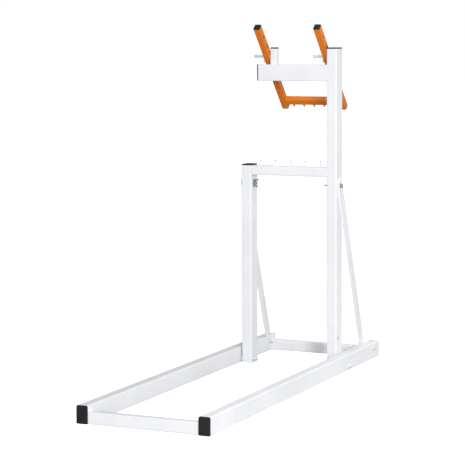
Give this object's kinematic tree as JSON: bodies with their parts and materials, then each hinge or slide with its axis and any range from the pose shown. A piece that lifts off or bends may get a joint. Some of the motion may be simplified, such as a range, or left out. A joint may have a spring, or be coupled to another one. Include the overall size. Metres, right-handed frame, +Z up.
{
  "type": "log saw stand",
  "caption": "White steel log saw stand: long tube base, two posts, a spiked rest beam and an orange swinging spiked jaw that holds a log while its end is sawn.",
  "frame": {"origin": "On the floor, in the middle of the base rails' length and of the base's width.", "axes": "+Z is up. +Y points to the rear along the base rails, so the posts stand towards +Y. +X points to the side of the tall post."},
  "size_m": [0.4838, 1.51, 1.2636],
  "materials": {
    "powder_white": "smooth white powder coat on welded steel tube, half gloss",
    "powder_orange": "smooth orange powder coat on welded steel tube, half gloss",
    "cap_black": "moulded black polyethylene tube plug, fine grain",
    "zinc_steel": "bright zinc plated steel fasteners and pins"
  },
  "bodies": {
    "stand": {"near_rail": "powder_white", "far_rail": "powder_white", "front_crossbar": "powder_white", "rear_crossbar": "powder_white", "near_post": "powder_white", "far_post": "powder_white", "lower_beam": "powder_white", "upper_beam": "powder_white", "pivot_stub": "powder_white", "lower_spikes": "powder_white", "near_brace": "powder_white", "far_brace": "powder_white", "rail_front_caps": "cap_black", "rail_rear_caps": "cap_black", "post_caps": "cap_black", "upper_beam_cap": "cap_black", "stub_cap": "cap_black", "brace_head_bolts": "zinc_steel", "brace_head_washers": "zinc_steel", "brace_head_nuts": "zinc_steel", "brace_foot_bolts": "zinc_steel", "brace_foot_washers": "zinc_steel", "brace_foot_nuts": "zinc_steel", "post_base_bolts": "zinc_steel", "post_base_washers": "zinc_steel", "post_base_nuts": "zinc_steel", "post_spacers": "zinc_steel", "pivot_pins": "zinc_steel", "pivot_inner_washers": "zinc_steel", "pivot_outer_washers": "zinc_steel", "pin_clips": "zinc_steel"},
    "jaw": {"near_jaw_arm": "powder_orange", "far_jaw_arm": "powder_orange", "jaw_bar": "powder_orange", "jaw_spikes": "powder_orange", "jaw_arm_caps": "cap_black"}
  },
  "joints": [
    {"name": "jaw_swing", "type": "hinge", "parent": "stand", "child": "jaw", "pos_m": [0, 0.4675, 1.147], "axis": [1, 0, 0], "range_deg": [-40, 65]}
  ]
}
